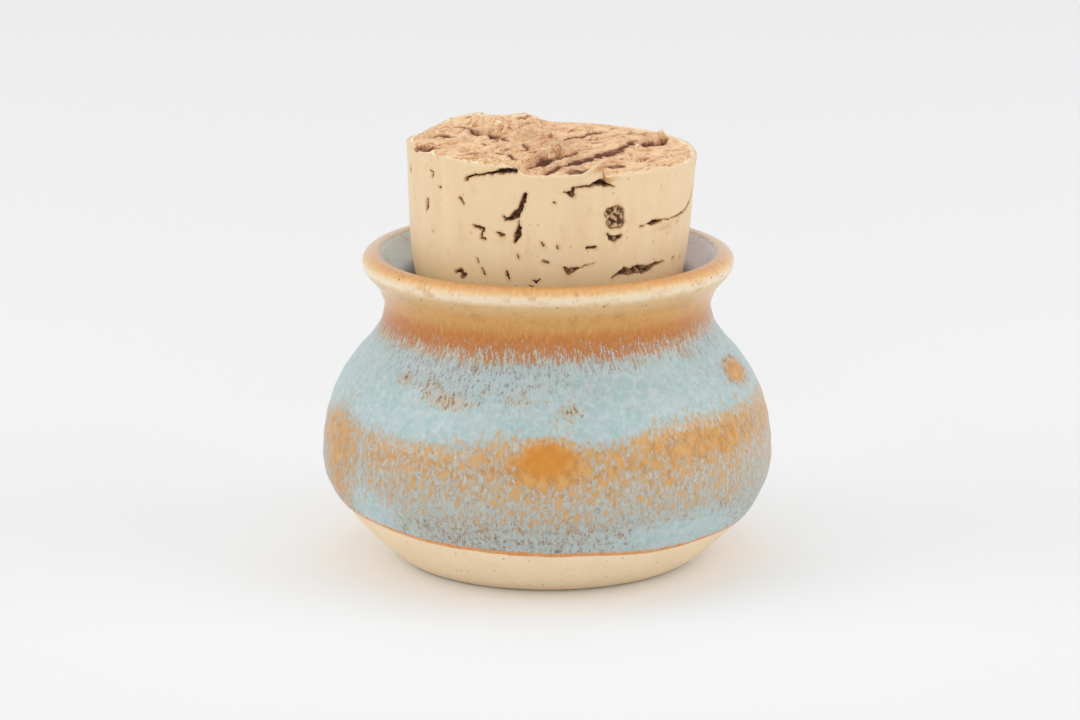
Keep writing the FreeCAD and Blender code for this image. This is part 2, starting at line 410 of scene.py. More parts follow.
amberBelow = [(-18, 0.31), (-15, 0.36), (-12.5, 0.4), (-9.5, 0.43), (-6.5, 0.475), (-3.5, 0.6),
              (-1.5, 0.56), (0, 0.42), (1.4, 0.24), (3.0, 0.12), (6.0, 0.1)]
amberAbove = [(-6.0, 0.1), (-2.8, 0.14), (-1.3, 0.28), (0.3, 0.6), (1.9, 0.86), (3.6, 1.2)]
amberInside = [(48.0, 1.2), (48.5, 0.95), (49.0, 0.5), (49.5, 0.15), (54.0, 0.1), (60.0, 0.5)]


# the pale blue band: middle height, rise to the right, fall to the front, and wave of each edge
bandEdges = {
    "bottom": 25.6, "bottomTilt": 1.1, "bottomWave": 0.9,
    "top": 37.1, "topTilt": 0.45, "topFall": 0.4, "topWave": 0.7,
    "middle": 32.0,
}


def bandBottom(angle):
    # where the amber speckle gives way to the pale blue band
    b = bandEdges
    wave = b["bottomWave"] * rough(*onDrum(angle, 2.0, 8.0), 1.0)
    return b["bottom"] + b["bottomTilt"] * sin(radians(angle)) + wave


def bandTop(angle):
    # where the blue band gives way to the amber of the neck
    b = bandEdges
    turn = radians(angle)
    wave = b["topWave"] * rough(*onDrum(angle, 3.0, 4.0), 1.0)
    return b["top"] + b["topTilt"] * sin(turn) - b["topFall"] * cos(turn) + wave


def amberAt(angle, level):
    # how much amber the glaze holds here; inside the mouth the level goes on past the lip
    if level > lipTop:
        return along(amberInside, level)
    if level > bandEdges["middle"]:
        return along(amberAbove, level - bandTop(angle)) + patchSum(amberPatches, angle, level)
    return along(amberBelow, level - bandBottom(angle)) + patchSum(amberPatches, angle, level)


lilacStops = [(8.0, 0.95), (12.0, 0.7), (15.0, 0.55), (24.0, 0.5), (27.0, 0.2), (30.0, 0.25),
              (33.5, 0.35), (35.5, 0.8), (38.0, 1.0), (48.0, 0.6), (52.0, 0.5)]


def lilacAt(angle, level):
    if level > lipTop:
        return 0.55 + 0.45 * sin(radians(angle - 10))
    return along(lilacStops, level) + patchSum(lilacPatches, angle, level)


def buildJar():
    section, crest = jarSection()
    crestWalk = sum((b - a).length for a, b in zip(section[:crest], section[1:crest + 1]))
    s = jarSizes
    shape, walk = lathe(section, s["steps"])
    wrap = shape.verts.layers.float_vector.new("wrap")
    fields = addFields(shape, jarFields)
    for corner in shape.verts:
        x, y, z = corner.co
        radius = hypot(x, y)
        angle = degrees(atan2(x, -y))
        turn = radians(angle)
        inside = corner[walk] > crestWalk
        level = lipTop + corner[walk] - crestWalk if inside else z
        above = level - glazeLine(angle)
        fringe = s["fringe"] + s["fringeSwing"] * cos(radians(angle + s["fringeTurn"]))
        rust = s["rust"] + patchSum(rustPatches, angle, level)
        corner[wrap] = onDrum(angle, s["wrapRadius"], corner[walk])
        values = (level, amberAt(angle, level), rust, lilacAt(angle, level), above, fringe)
        for field, value in zip(fields, values):
            corner[field] = value
        if radius < 0.01:
            continue
        out = Vector((x / radius, y / radius, 0))
        push = 0.0
        if not inside and z > 0.05:
            held = rise(0.0, 6.0, z)
            push += held * s["wobble"] * sin(2 * turn + z / 11 + 0.6)
            push += held * 0.5 * s["wobble"] * sin(3 * turn - z / 17)
            ring = sin(tau * z / s["ringSpacing"] + 0.4 * sin(turn))
            push += held * s["throwingRing"] * ring
            bare = rise(0.25, -0.05, above) * rise(0.2, 4.0, z)
            push -= bare * s["glaze"]
            push += s["glazeRoll"] * exp(-((above - 0.7) / 0.6) ** 2)
            flatSide = exp(-(turnBetween(s["flatAngle"], angle) / s["flatHalf"]) ** 2)
            low = rise(s["flatTop"], s["flatFull"], z)
            push -= s["flatDepth"] * flatSide * low * rise(0.3, 3.0, z)
        lipShare = rise(42.0, 47.0, z)
        push += lipShare * s["lipSway"] * sin(turn + 1.2)
        sideways = turnBetween(s["bumpAngle"], angle) / s["bumpHalf"]
        bump = exp(-sideways ** 2 - ((level - s["bumpLevel"]) / s["bumpRise"]) ** 2)
        push += s["bump"] * bump
        corner.co += out * push
        wave = s["lipWave"] * sin(turn * 2 + 0.7) - s["lipWave"]
        corner.co.z += lipShare * wave + s["bumpLift"] * bump
    return closeUp(shape, "stonewareJar")


def glazedStoneware():
    paint = Paint(bpy.data.materials.new("glazedStoneware"))
    cloud, mix, step, wash = paint.cloud, paint.mix, paint.step, paint.wash
    wrap = paint.field("wrap", 1)
    level, amber, rust, lilac, above, fringeWidth = [paint.field(name) for name in jarFields]
    worms = cloud(wrap, (2.1, 2.1, 1.05), 4.0, 0.64)
    grains = cloud(wrap, (5.5, 5.5, 3.6), 2.0, 0.6)
    lumps = cloud(wrap, (0.9, 0.9, 0.6), 3.0, 0.55)
    drifts = cloud(wrap, (0.2, 0.2, 0.2), 3.0, 0.55)
    wisps = cloud(wrap, (0.34, 0.34, 0.5), 4.0, 0.6)
    mottle = cloud(wrap, (1.6, 1.6, 1.1), 4.0, 0.65)
    streaks = cloud(wrap, (2.4, 2.4, 0.6), 4.0, 0.62)
    nearNeck = step(level, 33.5, 36.5) * step(level, 41.0, 39.0)
    # how far the mix is towards amber at each point
    value = amber + (worms - 0.5) * 1.75 + (grains - 0.5) * 0.6 + (lumps - 0.5) * 0.6
    value = value + (drifts - 0.5) * 0.35
    value = value + ((streaks - 0.5) * 2.1 + (grains - 0.5) * 0.7 - (worms - 0.5) * 1.1) * nearNeck
    # pale glaze, greenish to lavender; inside the mouth it is its own pale glaze, painted lighter still as
    # painted light against the shade there
    mottled = step(mottle, 0.3, 0.7)
    turquoise = wash((154, 184, 182), (176, 188, 192), wisps, 0.38, 0.62)
    turquoise = mix(mottled * 0.6, turquoise, (182, 202, 202))
    smears = cloud(wrap, (0.9, 0.9, 1.1), 4.0, 0.62)
    turquoise = wash(turquoise, (196, 209, 208), smears, 0.48, 0.66, 0.5)
    turquoise = wash(turquoise, (156, 176, 180), smears, 0.44, 0.3, 0.5)
    haze = mix(mottled, (166, 182, 184), (188, 200, 200))
    blue = wash(turquoise, haze, lilac, 0.2, 1.0)
    # the mouth's own pale glaze, painted lighter as painted light for the shaded mouth
    mouthPaleAndPaintedLight = mix(lilac, (196, 212, 212), (205, 202, 212))
    blue = wash(blue, mouthPaleAndPaintedLight, level, 48.3, 49.3)
    # painted shade deep in the mouth, where the cork and the wall keep the light out
    throatPaintedShade = step(level, 53.0, 55.0, 0.0, 0.85)
    paleWorm = mix(mottled, (162, 172, 165), (184, 187, 177))
    creamy = mix(mottled, (188, 176, 156), (205, 196, 180))
    paleWorm = wash(paleWorm, creamy, amber, 0.4, 0.52)
    blue = wash(blue, paleWorm, amber, 0.26, 0.42, 0.8)
    # amber glaze, ochre to orange, muddy where it is thin
    lumpy = step(lumps, 0.35, 0.65)
    ochre = mix(lumpy, (188, 134, 62), (210, 158, 90))
    orange = mix(lumpy, (202, 126, 26), (208, 136, 36))
    warm = wash(ochre, orange, rust, 0.25, 1.0)
    muddy = step(level, 15.5, 11.5) * step(amber, 0.52, 0.32)
    inBand = step(level, 28.0, 29.5) * step(level, 36.5, 34.5)
    muddy = muddy + inBand * step(amber, 0.66, 0.5)
    warm = mix(muddy, warm, (124, 104, 80))
    between = wash((188, 172, 148), (162, 158, 150), lilac, 0.2, 0.9)
    colour = wash(blue, between, value, 0.28, 0.5)
    colour = wash(colour, warm, value, 0.45, 0.7)
    dusty = step(mottle + (streaks - 0.5) * 0.7, 0.52, 0.64) * step(lilac, 0.1, 0.7, 0.0, 0.85)
    dusty = dusty * step(smears, 0.56, 0.44, 0.25, 1.0)
    dusty = dusty * step(level, 46.0, 42.0)
    colour = mix(dusty * step(value, 0.5, 0.3), colour, (122, 110, 114))
    # the neck, lip and mouth; the cream band round the outer lip is partly glaze breaking pale over the
    # edge and partly a painted highlight
    neckStops = [
        (0.00, (150, 80, 30)), (0.12, (176, 102, 40)), (0.26, (190, 119, 46)),
        (0.34, (204, 145, 72)), (0.42, (212, 157, 86)), (0.53, (224, 180, 120)),
        (0.61, (224, 190, 142)), (0.655, (234, 217, 188)), (0.69, (234, 213, 180)),
        (0.73, (230, 184, 124)), (0.78, (212, 150, 82)), (0.84, (198, 136, 70))]
    smear = ((lumps - 0.5) * 1.6 + (streaks - 0.5) * 0.8) * step(level, 44.5, 42.0)
    smear = smear + (mottle - 0.5) * 1.1
    neckPlace = (level + smear - 35.5) * (1 / 16)
    neck = paint.ramp(neckPlace, neckStops)
    neck = wash(neck, (190, 130, 70), wisps + (mottle - 0.5) * 0.6, 0.5, 0.75, 0.5)
    neck = wash(neck, (232, 196, 148), streaks, 0.5, 0.75, 0.25)
    # painted reflection: the crest of the lip is painted paler at the sides and back, where it mirrors the
    # bright room rather than the cork
    frontness = paint.node("ShaderNodeSeparateXYZ", {}, {0: wrap}, 1)
    rearLipPaintedReflection = step(frontness, 16.0, -8.0, 0.0, 0.75) * step(level, 47.0, 48.2)
    neck = mix(rearLipPaintedReflection, neck, (216, 200, 174))
    onNeck = step(value, 0.5, 0.75) * step(level, 34.8, 37.2)
    colour = mix(onNeck, colour, neck)
    # painted shade deep in the throat
    colour = mix(throatPaintedShade, colour, (92, 76, 64))
    # iron specks
    specks = paint.node("ShaderNodeTexVoronoi", {}, {"Vector": wrap, "Scale": 0.42})
    speck = step(specks, 0.1, 0.06) * step(level, 41.0, 43.0)
    colour = mix(speck * 0.8, colour, (96, 62, 40))
    # bare clay under the glaze line
    grit = cloud(wrap, (3.0, 3.0, 3.0), 3.0, 0.7)
    clay = wash((246, 223, 189), (238, 211, 173), grit, 0.35, 0.68)
    clay = wash(clay, (248, 227, 195), drifts, 0.3, 0.7, 0.5)
    pits = paint.node("ShaderNodeTexVoronoi", {}, {"Vector": wrap, "Scale": 0.5})
    clay = wash(clay, (150, 112, 76), pits, 0.12, 0.06, 0.6)
    fringe = wash((214, 136, 62), (226, 156, 92), lumps, 0.3, 0.7)
    fringeTop = above - fringeWidth + (worms - 0.5) * 0.9 + (lumps - 0.5) * 0.6
    colour = wash(colour, fringe, fringeTop, 0.2, -0.2)
    bare = step(above + (lumps - 0.5) * 0.1, 0.06, -0.06)
    colour = mix(bare, colour, clay)
    gloss = step(level, 35.0, 40.0, 0.38, 0.17)
    roughness = gloss + (worms - 0.5) * 0.12 + bare * 0.42
    relief = (worms - 0.5) * (1 - bare)
    sand = grit * bare
    sizes = [(relief, 0.10 * mm, 0.6), (sand, 0.16 * mm, 0.7)]
    return paint.finish(colour, roughness, sizes, {"IOR": 1.5})


print("turning the jar")
keepPiece("stonewareJar", buildJar(), glazedStoneware(), "jar_body")


corkSizes = {
    "throat": 39.55, "seatRadius": 19.5, "taper": 6.25, "height": 23.9, "depth": 13.5,
    "swell": 0.55, "bevel": 0.9, "lean": 1.5, "rimRound": 0.22,
    "steps": 440, "flankStep": 0.25,
    "layer": 1.2,  # thickness of the bark layer left on one side
    "grainTurn": 57.0,  # the way the fibres of the torn face run
    "wrapRadius": 21.0,  # radius at which the fibres of the flank are wrapped round
    "rimFall": 5.0,  # how far below the rim the flank follows its ups and downs
    "ripple": 0.04, "rimRipple": 0.06,
}
corkFields = ("torn", "pore", "stain", "relief")

# chip curled up from the front rim: angles, height, and the notch where it broke off
curledChip = {
    "start": 7.0, "peak": 19.6, "fall": 19.7, "end": 20.9, "height": 1.7, "bend": 1.6,
    "notch": 0.25, "notchAngle": 22.6, "notchHalf": 1.6,
}

# height of the rim above the throat, round from the back, by angle from the front
rimHeights = [
    (-180, 23.7), (-175, 24.0), (-168, 25.0), (-158, 24.8), (-147, 25.5), (-136, 25.2), (-124, 24.4),
    (-112, 23.9), (-100, 24.4), (-84, 25.0), (-72, 24.8), (-68, 24.4), (-63, 24.9), (-45, 25.1),
    (-30, 25.0), (-20, 25.2), (-14, 25.1), (-11.5, 24.1), (-5, 23.95), (0, 24.15), (12, 24.2),
    (30, 24.05), (45, 24.1), (60, 23.9), (80, 23.7), (110, 24.0), (140, 23.9), (180, 23.7)]

# x at which the bark layer ends, by y
layerEdge = [
    (-23, -5.2), (-19, -5.0), (-15, -4.4), (-9, -1.0), (-4, 1.4), (4, 0.4), (12, -1.2), (23, -2.6)]

# cracks (negative) and ridges (positive) across the torn face: path, half width, height, stain
faceMarks = {
    "centreFissure": ([(-3.9, -16.0), (-2.1, -12.9), (-0.7, -10.7), (1.5, -6.3), (3.9, -1.6)],
        0.75, -0.4, 1.0),
    "rearOfCentre": ([(3.9, -1.6), (6.5, 1.4), (8.4, 4.4)], 0.3, -0.4, 0.4),
    "frontFissure": ([(-2.3, -19.5), (-0.1, -16.6), (2.3, -12.2), (4.7, -8.6), (8.1, -3.3), (10.7, 1.9),
        (13.0, 8.1)], 0.85, -0.45, 1.0),
    "betweenRidge": ([(-2.6, -17.5), (1.4, -10.4), (4.6, -4.6)], 0.5, 0.35, 0.0),
    "frontHollow": ([(2.6, -18.6), (4.9, -16.3), (7.8, -12.4)], 1.3, -0.25, 0.9),
    "frontHollowTwo": ([(8.3, -13.4), (10.9, -10.8)], 1.1, -0.2, 0.9),
    "rearFissure": ([(1.9, 6.2), (3.0, 8.1), (5.0, 10.4), (7.2, 13.1), (8.8, 14.8)], 0.5, -0.4, 0.9),
    "rearFine": ([(9.8, 10.4), (13.4, 14.2)], 0.16, -0.3, 0.5),
    "sideGroove": ([(13.5, 1.6), (15.7, 5.4), (17.8, 8.6)], 0.6, -1.0, 1.0),
    "sideFlake": ([(11.4, -3.0), (13.4, 2.2), (15.4, 6.6), (17.2, 9.8)], 0.9, 0.7, 0.0),
    "flakeTip": ([(14.2, 6.2), (16.4, 9.2), (17.6, 10.4)], 1.1, 0.9, 0.0),
    "curlRidge": ([(-12.6, 12.6), (-10.4, 10.4), (-8.4, 7.4), (-6.4, 4.6), (-3.6, 0.8)], 1.5, 1.2, 0.0),
    "curlShadow": ([(-14.2, 9.2), (-11.7, 6.3), (-10.9, 4.8), (-8.8, 2.5), (-6.1, -1.4)], 0.9, -1.0, 1.0),
    "leftSlit": ([(-19.9, -0.6), (-17.4, 1.7), (-14.7, 2.5)], 0.55, -0.9, 1.0),
    "leftTrough": ([(-20.6, -5.4), (-19.4, -8.2), (-16.5, -7.6), (-14.4, -5.1)], 0.8, -0.7, 0.7),
    "shelfCrackA": ([(-8.8, -8.9), (-6.8, -11.4), (-5.0, -13.3)], 0.4, -0.5, 0.9),
    "shelfCrackB": ([(-4.6, -2.6), (-3.2, -7.2)], 0.45, -0.6, 0.9),
    "shelfCrackC": ([(-13.2, -7.0), (-10.2, -9.4)], 0.18, -0.35, 0.6),
    "shelfCrackD": ([(-11.6, -2.6), (-8.8, -5.4)], 0.2, -0.4, 0.6),
    "backSlit": ([(-7.9, 17.2), (-5.8, 18.4), (-3.6, 18.8)], 0.5, -1.2, 1.0),
    "backCrackA": ([(-12.8, 15.4), (-10.2, 17.0)], 0.25, -0.5, 0.7),
    "backCrackB": ([(11.0, 15.6), (15.4, 12.0)], 0.22, -0.4, 0.6),
    "rightCrackA": ([(12.6, -8.4), (15.2, -5.6)], 0.18, -0.3, 0.7),
    "rightCrackB": ([(17.0, -4.2), (18.6, -1.8)], 0.16, -0.3, 0.6),
    "rightCrackC": ([(9.4, -7.2), (11.4, -4.4)], 0.2, -0.3, 0.6),
}

# pores and cracks of the flank: path of (angle, height above the throat, half width), depth, crumbs
flankMarks = {
    "barkCrack": ([(-35.2, 22.5, 0.22), (-34.8, 22.9, 0.12), (-30.4, 23.5, 0.12), (-26.1, 23.8, 0.12),
        (-22.1, 24.2, 0.24), (-18.8, 24.6, 0.42), (-14.6, 24.9, 0.5)], 1.9, 0.0),
    "longPore": ([(-10.2, 21.2, 0.34), (-11.0, 20.1, 0.36), (-12.4, 18.8, 0.42), (-13.8, 18.0, 0.6),
        (-15.8, 17.4, 0.32), (-18.2, 17.1, 0.22), (-18.6, 17.6, 0.14)], 1.5, 0.3),
    "blot": ([(-12.4, 16.0, 0.3), (-13.0, 15.0, 0.5), (-13.9, 13.9, 0.2)], 1.2, 0.3),
    "blotThread": ([(-12.6, 17.2, 0.07), (-12.4, 16.0, 0.1)], 0.4, 0.0),
    "teePore": ([(-32.0, 15.6, 0.12), (-29.4, 15.5, 0.2), (-27.3, 15.3, 0.2), (-28.0, 14.8, 0.12),
        (-28.2, 13.9, 0.2), (-27.0, 13.8, 0.2)], 0.8, 0.2),
    "star": ([(-21.4, 15.0, 0.12), (-20.1, 14.8, 0.3), (-18.4, 14.7, 0.16)], 0.7, 0.3),
    "oval": ([(-58.5, 17.8, 0.34), (-58.8, 17.0, 0.42), (-59.4, 16.3, 0.25)], 1.0, 0.4),
    "faintRing": ([(-55.6, 22.6, 0.1), (-53.6, 22.4, 0.12), (-54.4, 21.8, 0.12)], 0.35, 0.4),
    "dotA": ([(-49.8, 20.4, 0.18), (-49.2, 20.4, 0.18)], 0.4, 0.0),
    "dotB": ([(1.0, 20.1, 0.14), (1.4, 20.1, 0.14)], 0.3, 0.0),
    "dotC": ([(-55.3, 13.4, 0.12), (-54.8, 13.4, 0.12)], 0.3, 0.0),
    "dash": ([(-38.7, 19.6, 0.18), (-37.6, 19.2, 0.22), (-36.6, 18.7, 0.12)], 0.6, 0.0),
    "ragged": ([(-41.7, 7.9, 0.2), (-38.6, 8.4, 0.28), (-38.4, 7.3, 0.38), (-36.5, 7.8, 0.24)], 0.9, 0.5),
    "thinA": ([(-28.4, 9.3, 0.12), (-27.4, 8.4, 0.16)], 0.5, 0.0),
    "thinB": ([(-30.8, 10.7, 0.08), (-30.0, 10.0, 0.1)], 0.3, 0.0),
    "comma": ([(-17.6, 9.1, 0.18), (-16.9, 8.6, 0.28), (-16.5, 8.0, 0.14)], 0.8, 0.2),
    "veePore": ([(-6.3, 8.0, 0.16), (-4.9, 7.8, 0.22), (-4.0, 8.3, 0.1)], 0.7, 0.2),
    "veeLow": ([(-8.2, 7.2, 0.1), (-6.6, 7.1, 0.1)], 0.4, 0.0),
    "faintA": ([(-12.9, 12.0, 0.1), (-12.4, 11.4, 0.14)], 0.3, 0.5),
    "faintB": ([(-3.2, 14.0, 0.1), (-2.6, 13.5, 0.16)], 0.25, 0.5),
    "faintC": ([(2.6, 13.7, 0.08), (3.2, 13.2, 0.14)], 0.35, 0.2),
    "faintD": ([(-2.6, 11.1, 0.24), (-0.8, 11.0, 0.24)], 0.15, 0.6),
    "raggedRight": ([(6.2, 10.1, 0.3), (7.8, 9.4, 0.42), (9.3, 9.9, 0.42), (11.4, 10.1, 0.2)], 0.9, 0.6),
    "raggedTail": ([(11.4, 10.1, 0.07), (18.4, 10.8, 0.05)], 0.25, 0.0),
    "darkDash": ([(14.8, 13.2, 0.14), (16.8, 13.2, 0.24), (18.6, 13.2, 0.18)], 0.8, 0.1),
    "roundPore": ([(24.4, 18.3, 1.05), (26.8, 18.2, 1.25), (27.6, 17.0, 1.1), (25.0, 16.9, 1.0)], 0.8, 1.0),
    "cupPore": ([(23.2, 15.2, 0.16), (24.6, 14.6, 0.34), (26.2, 14.3, 0.42), (28.8, 14.8, 0.3)], 0.9, 0.5),
    "slit": ([(42.0, 16.0, 0.14), (44.6, 16.1, 0.4), (47.0, 16.1, 0.4), (50.9, 16.2, 0.12)], 1.2, 0.1),
    "slitTail": ([(38.2, 15.8, 0.08), (40.0, 15.9, 0.12)], 0.4, 0.2),
    "slitThread": ([(50.9, 16.2, 0.07), (56.2, 16.1, 0.07), (62.0, 16.1, 0.14), (68.0, 16.4, 0.12),
        (73.0, 16.9, 0.24), (76.4, 17.6, 0.3), (80.0, 19.2, 0.2)], 0.6, 0.0),
    "lowCrack": ([(26.4, 8.2, 0.12), (29.6, 8.9, 0.3), (32.0, 9.2, 0.6), (34.6, 8.9, 0.55),
        (38.0, 9.3, 0.62), (42.0, 8.9, 0.66), (45.0, 9.0, 0.5), (48.6, 9.5, 0.26),
        (54.0, 9.5, 0.12)], 1.3, 0.7),
    "chipGap": ([(9.8, 22.5, 0.1), (12.4, 22.6, 0.14), (16.0, 22.8, 0.22), (19.2, 23.2, 0.5),
        (22.0, 22.8, 0.24), (24.6, 22.45, 0.08)], 2.0, 0.2),
    "chipPit": ([(8.4, 22.4, 0.3), (8.1, 21.4, 0.42), (6.2, 21.7, 0.2)], 0.9, 0.4),
    "chipThread": ([(4.6, 21.8, 0.06), (8.4, 22.0, 0.12)], 0.4, 0.0),
    "smallA": ([(61.2, 9.6, 0.14), (62.6, 9.6, 0.14)], 0.4, 0.3),
    "smallB": ([(68.4, 9.3, 0.12), (69.6, 9.2, 0.12)], 0.4, 0.3),
    "edgeA": ([(-76.0, 22.0, 0.2), (-75.0, 21.4, 0.25), (-77.0, 20.8, 0.15)], 0.7, 0.3),
    "edgeB": ([(85.0, 12.6, 0.2), (88.0, 12.9, 0.34), (92.0, 12.7, 0.2)], 0.8, 0.2),
}
# stains of the flank: angle, height above the throat, half width, half height, amount
flankStains = {
    "chipRust": (20.4, 23.5, 1.5, 0.5, 2.2),
    "ochreA": (53.3, 15.0, 2.2, 0.5, 0.8),
    "ochreB": (62.4, 15.3, 0.9, 0.4, 0.9),
    "ochreC": (86.0, 20.0, 2.4, 2.0, 0.3),
    "greyA": (33.0, 16.6, 1.4, 0.4, 0.25),
}

backMarks = {"count": 30, "seed": 11, "firstAngle": 100.0, "lastAngle": 262.0, "low": 7.0, "high": 22.0}


def spreadBackMarks():
    # more pores of the same kinds where the front ones don't reach
    chance = random.Random(backMarks["seed"])
    made = {}
    for index in range(backMarks["count"]):
        share = (index + 0.5 * chance.random()) / backMarks["count"]
        angle = backMarks["firstAngle"] + share * (backMarks["lastAngle"] - backMarks["firstAngle"])
        height = chance.uniform(backMarks["low"], backMarks["high"])
        big = chance.random() < 0.3
        reach = chance.uniform(2.4, 5.0) if big else chance.uniform(0.8, 2.0)
        slope = chance.choice((0.15, 0.25, 1.6, -0.2, -1.2))
        width = chance.uniform(0.3, 0.6) if big else chance.uniform(0.12, 0.28)
        path = []
        for step in range(4):
            way = step / 3 - 0.5
            drift = chance.uniform(-0.25, 0.25)
            rises = way * reach * slope / hypot(1, slope) + drift
            turns = way * reach / hypot(1, slope) * 2.7
            path.append((angle + turns, height + rises, width * (1.0 - 1.2 * abs(way)) + 0.06))
        made["back" + str(index)] = (path, chance.uniform(0.6, 1.5), chance.choice((0.0, 0.3, 0.7)))
    return made


flankMarks.update(spreadBackMarks())


def nearPath(path, x, y):
    # distance from a path, and how far along it from 0 to 1
    best = 1e9
    place = 0.0
    for index in range(len(path) - 1):
        ax, ay = path[index][0], path[index][1]
        bx, by = path[index + 1][0] - ax, path[index + 1][1] - ay
        share = ((x - ax) * bx + (y - ay) * by) / (bx * bx + by * by)
        share = min(1.0, max(0.0, share))
        distance = hypot(x - ax - bx * share, y - ay - by * share)
        if distance < best:
            best = distance
            place = (index + share) / (len(path) - 1)
    return best, place


def flankRadius(height):
    share = min(1.0, max(0.0, (height - 2.0) / (corkSizes["height"] - 2.0)))
    fullness = 6.75 * share * (1 - share) ** 2 * corkSizes["swell"]
    return corkSizes["seatRadius"] + height * tan(radians(corkSizes["taper"])) + fullness


def corkSection():
    c = corkSizes
    slope = tan(radians(c["taper"]))
    bottomRadius = c["seatRadius"] - c["depth"] * slope
    topRadius = flankRadius(c["height"])
    rim = c["rimRound"]
    runs = [
        [at((bottomRadius - c["bevel"]) * share / 8, -c["depth"]) for share in range(9)],
        [at(bottomRadius - c["bevel"] * (1 - share / 2), -c["depth"] + c["bevel"] * share / 2)
         for share in (1, 2)],
    ]
    heights = [-c["depth"] + c["bevel"] + 1.2 * index for index in range(1, 15)]
    heights += [4.6 + c["flankStep"] * index for index in range(77)]
    below = [height for height in heights if height < c["height"] - rim]
    runs.append([at(flankRadius(height), height) for height in below])
    for turn in (0.0, pi / 6, pi / 3, pi / 2):
        runs.append([at(topRadius - rim * (1 - cos(turn)), c["height"] - rim * (1 - sin(turn)))])
    radius = topRadius - rim
    inner = []
    while radius > 0.4:
        radius -= 0.3 if radius > 8 else 0.42
        inner.append(at(max(radius, 0.0), c["height"]))
    runs.append(inner + [at(0, c["height"])])
    return [point for run in runs for point in run]


def tornFace(x, y):
    # height above the plain cut, how deep in a crack, how stained with painted shade in the creases, and
    # how high in the fine relief
    wx = x + 0.45 * rough(x, y, 1.0, 1.7) + 0.38 * rough(x, y, 6.0, 0.75)
    wy = y + 0.45 * rough(x, y, 9.0, 1.7) + 0.38 * rough(x, y, 3.0, 0.75)
    layer = rise(0.4, -0.4, wx - along(layerEdge, wy))
    grain = radians(corkSizes["grainTurn"])
    bendX = x + 1.3 * rough(x, y, 31.0, 5.0)
    bendY = y + 1.3 * rough(x, y, 37.0, 5.0)
    across = -bendX * sin(grain) + bendY * cos(grain)
    length = bendX * cos(grain) + bendY * sin(grain)
    plates = 1.7 * rough(across / 2.2, length / 5.0, 1.0 + 4 * layer, 1.0)
    whole = floor(plates)
    part = plates - whole
    # painted shade in the creases where the plates step down, laid into the stain and the relief
    creaseShade = rise(0.5, 0.74, part) * rise(0.98, 0.8, part) * rise(-0.1, 0.35, rough(x, y, 50.0, 3.5))
    plates = whole + rise(0.74, 1.0, part)
    coarse = 1 - 2 * abs(rough(across / 0.75, length / 3.0, 2.0, 1.0))
    fine = rough(across / 0.3, length / 1.3, 7.0, 1.0)
    fluff = rough(wx, wy, 2.0, 0.5)
    relief = 0.1 * (coarse - 0.55) + 0.08 * fine + (0.06 + 0.09 * layer) * fluff
    height = corkSizes["layer"] * layer + (0.22 + 0.14 * layer) * plates + 0.8 * relief
    height += rough(x, y, 4.0, 3.2) * 0.2 + layer * rough(wx, wy, 11.0, 1.4) * 0.22
    crack = 0.0
    browned = 0.5 * exp(-((x + 1.0) / 4.5) ** 2 - ((y - 2.0) / 7.5) ** 2)
    stain = max(0.4 * creaseShade, browned * (1 + 0.8 * fine))
    relief -= 0.08 * creaseShade
    for path, halfWidth, amount, tint in faceMarks.values():
        distance, place = nearPath(path, wx, wy)
        width = halfWidth * (1 - 0.85 * abs(2 * place - 1) ** 2.0) * (1 + 0.7 * rough(x, y, 70.0, 1.9))
        if distance < width * 3.2:
            if amount < 0:
                hollow = rise(width * 1.35, width * 0.5, distance)
                dark = rise(width * 1.4, width * 0.85, distance)
                height += amount * hollow * (0.8 + 0.9 * fluff)
                patchy = 0.95 + 0.7 * rough(x, y, 60.0, 1.1)
                crack = max(crack, dark * min(1.0, tint * patchy + 0.3 * fluff))
                stain = max(stain, tint * rise(width * 3.0, width * 0.8, distance))
            else:
                combed = rough(x / 0.45, y / 2.5, 5.0, 1.0)
                ridge = rise(width * 1.6, 0.0, distance)
                height += amount * ridge * (1 + 0.35 * combed)
                stain = max(stain, 0.7 * ridge * rise(0.05, -0.3, combed))
                relief += 0.06 * ridge
    return height, crack, stain, 0.5 + relief * 2.6


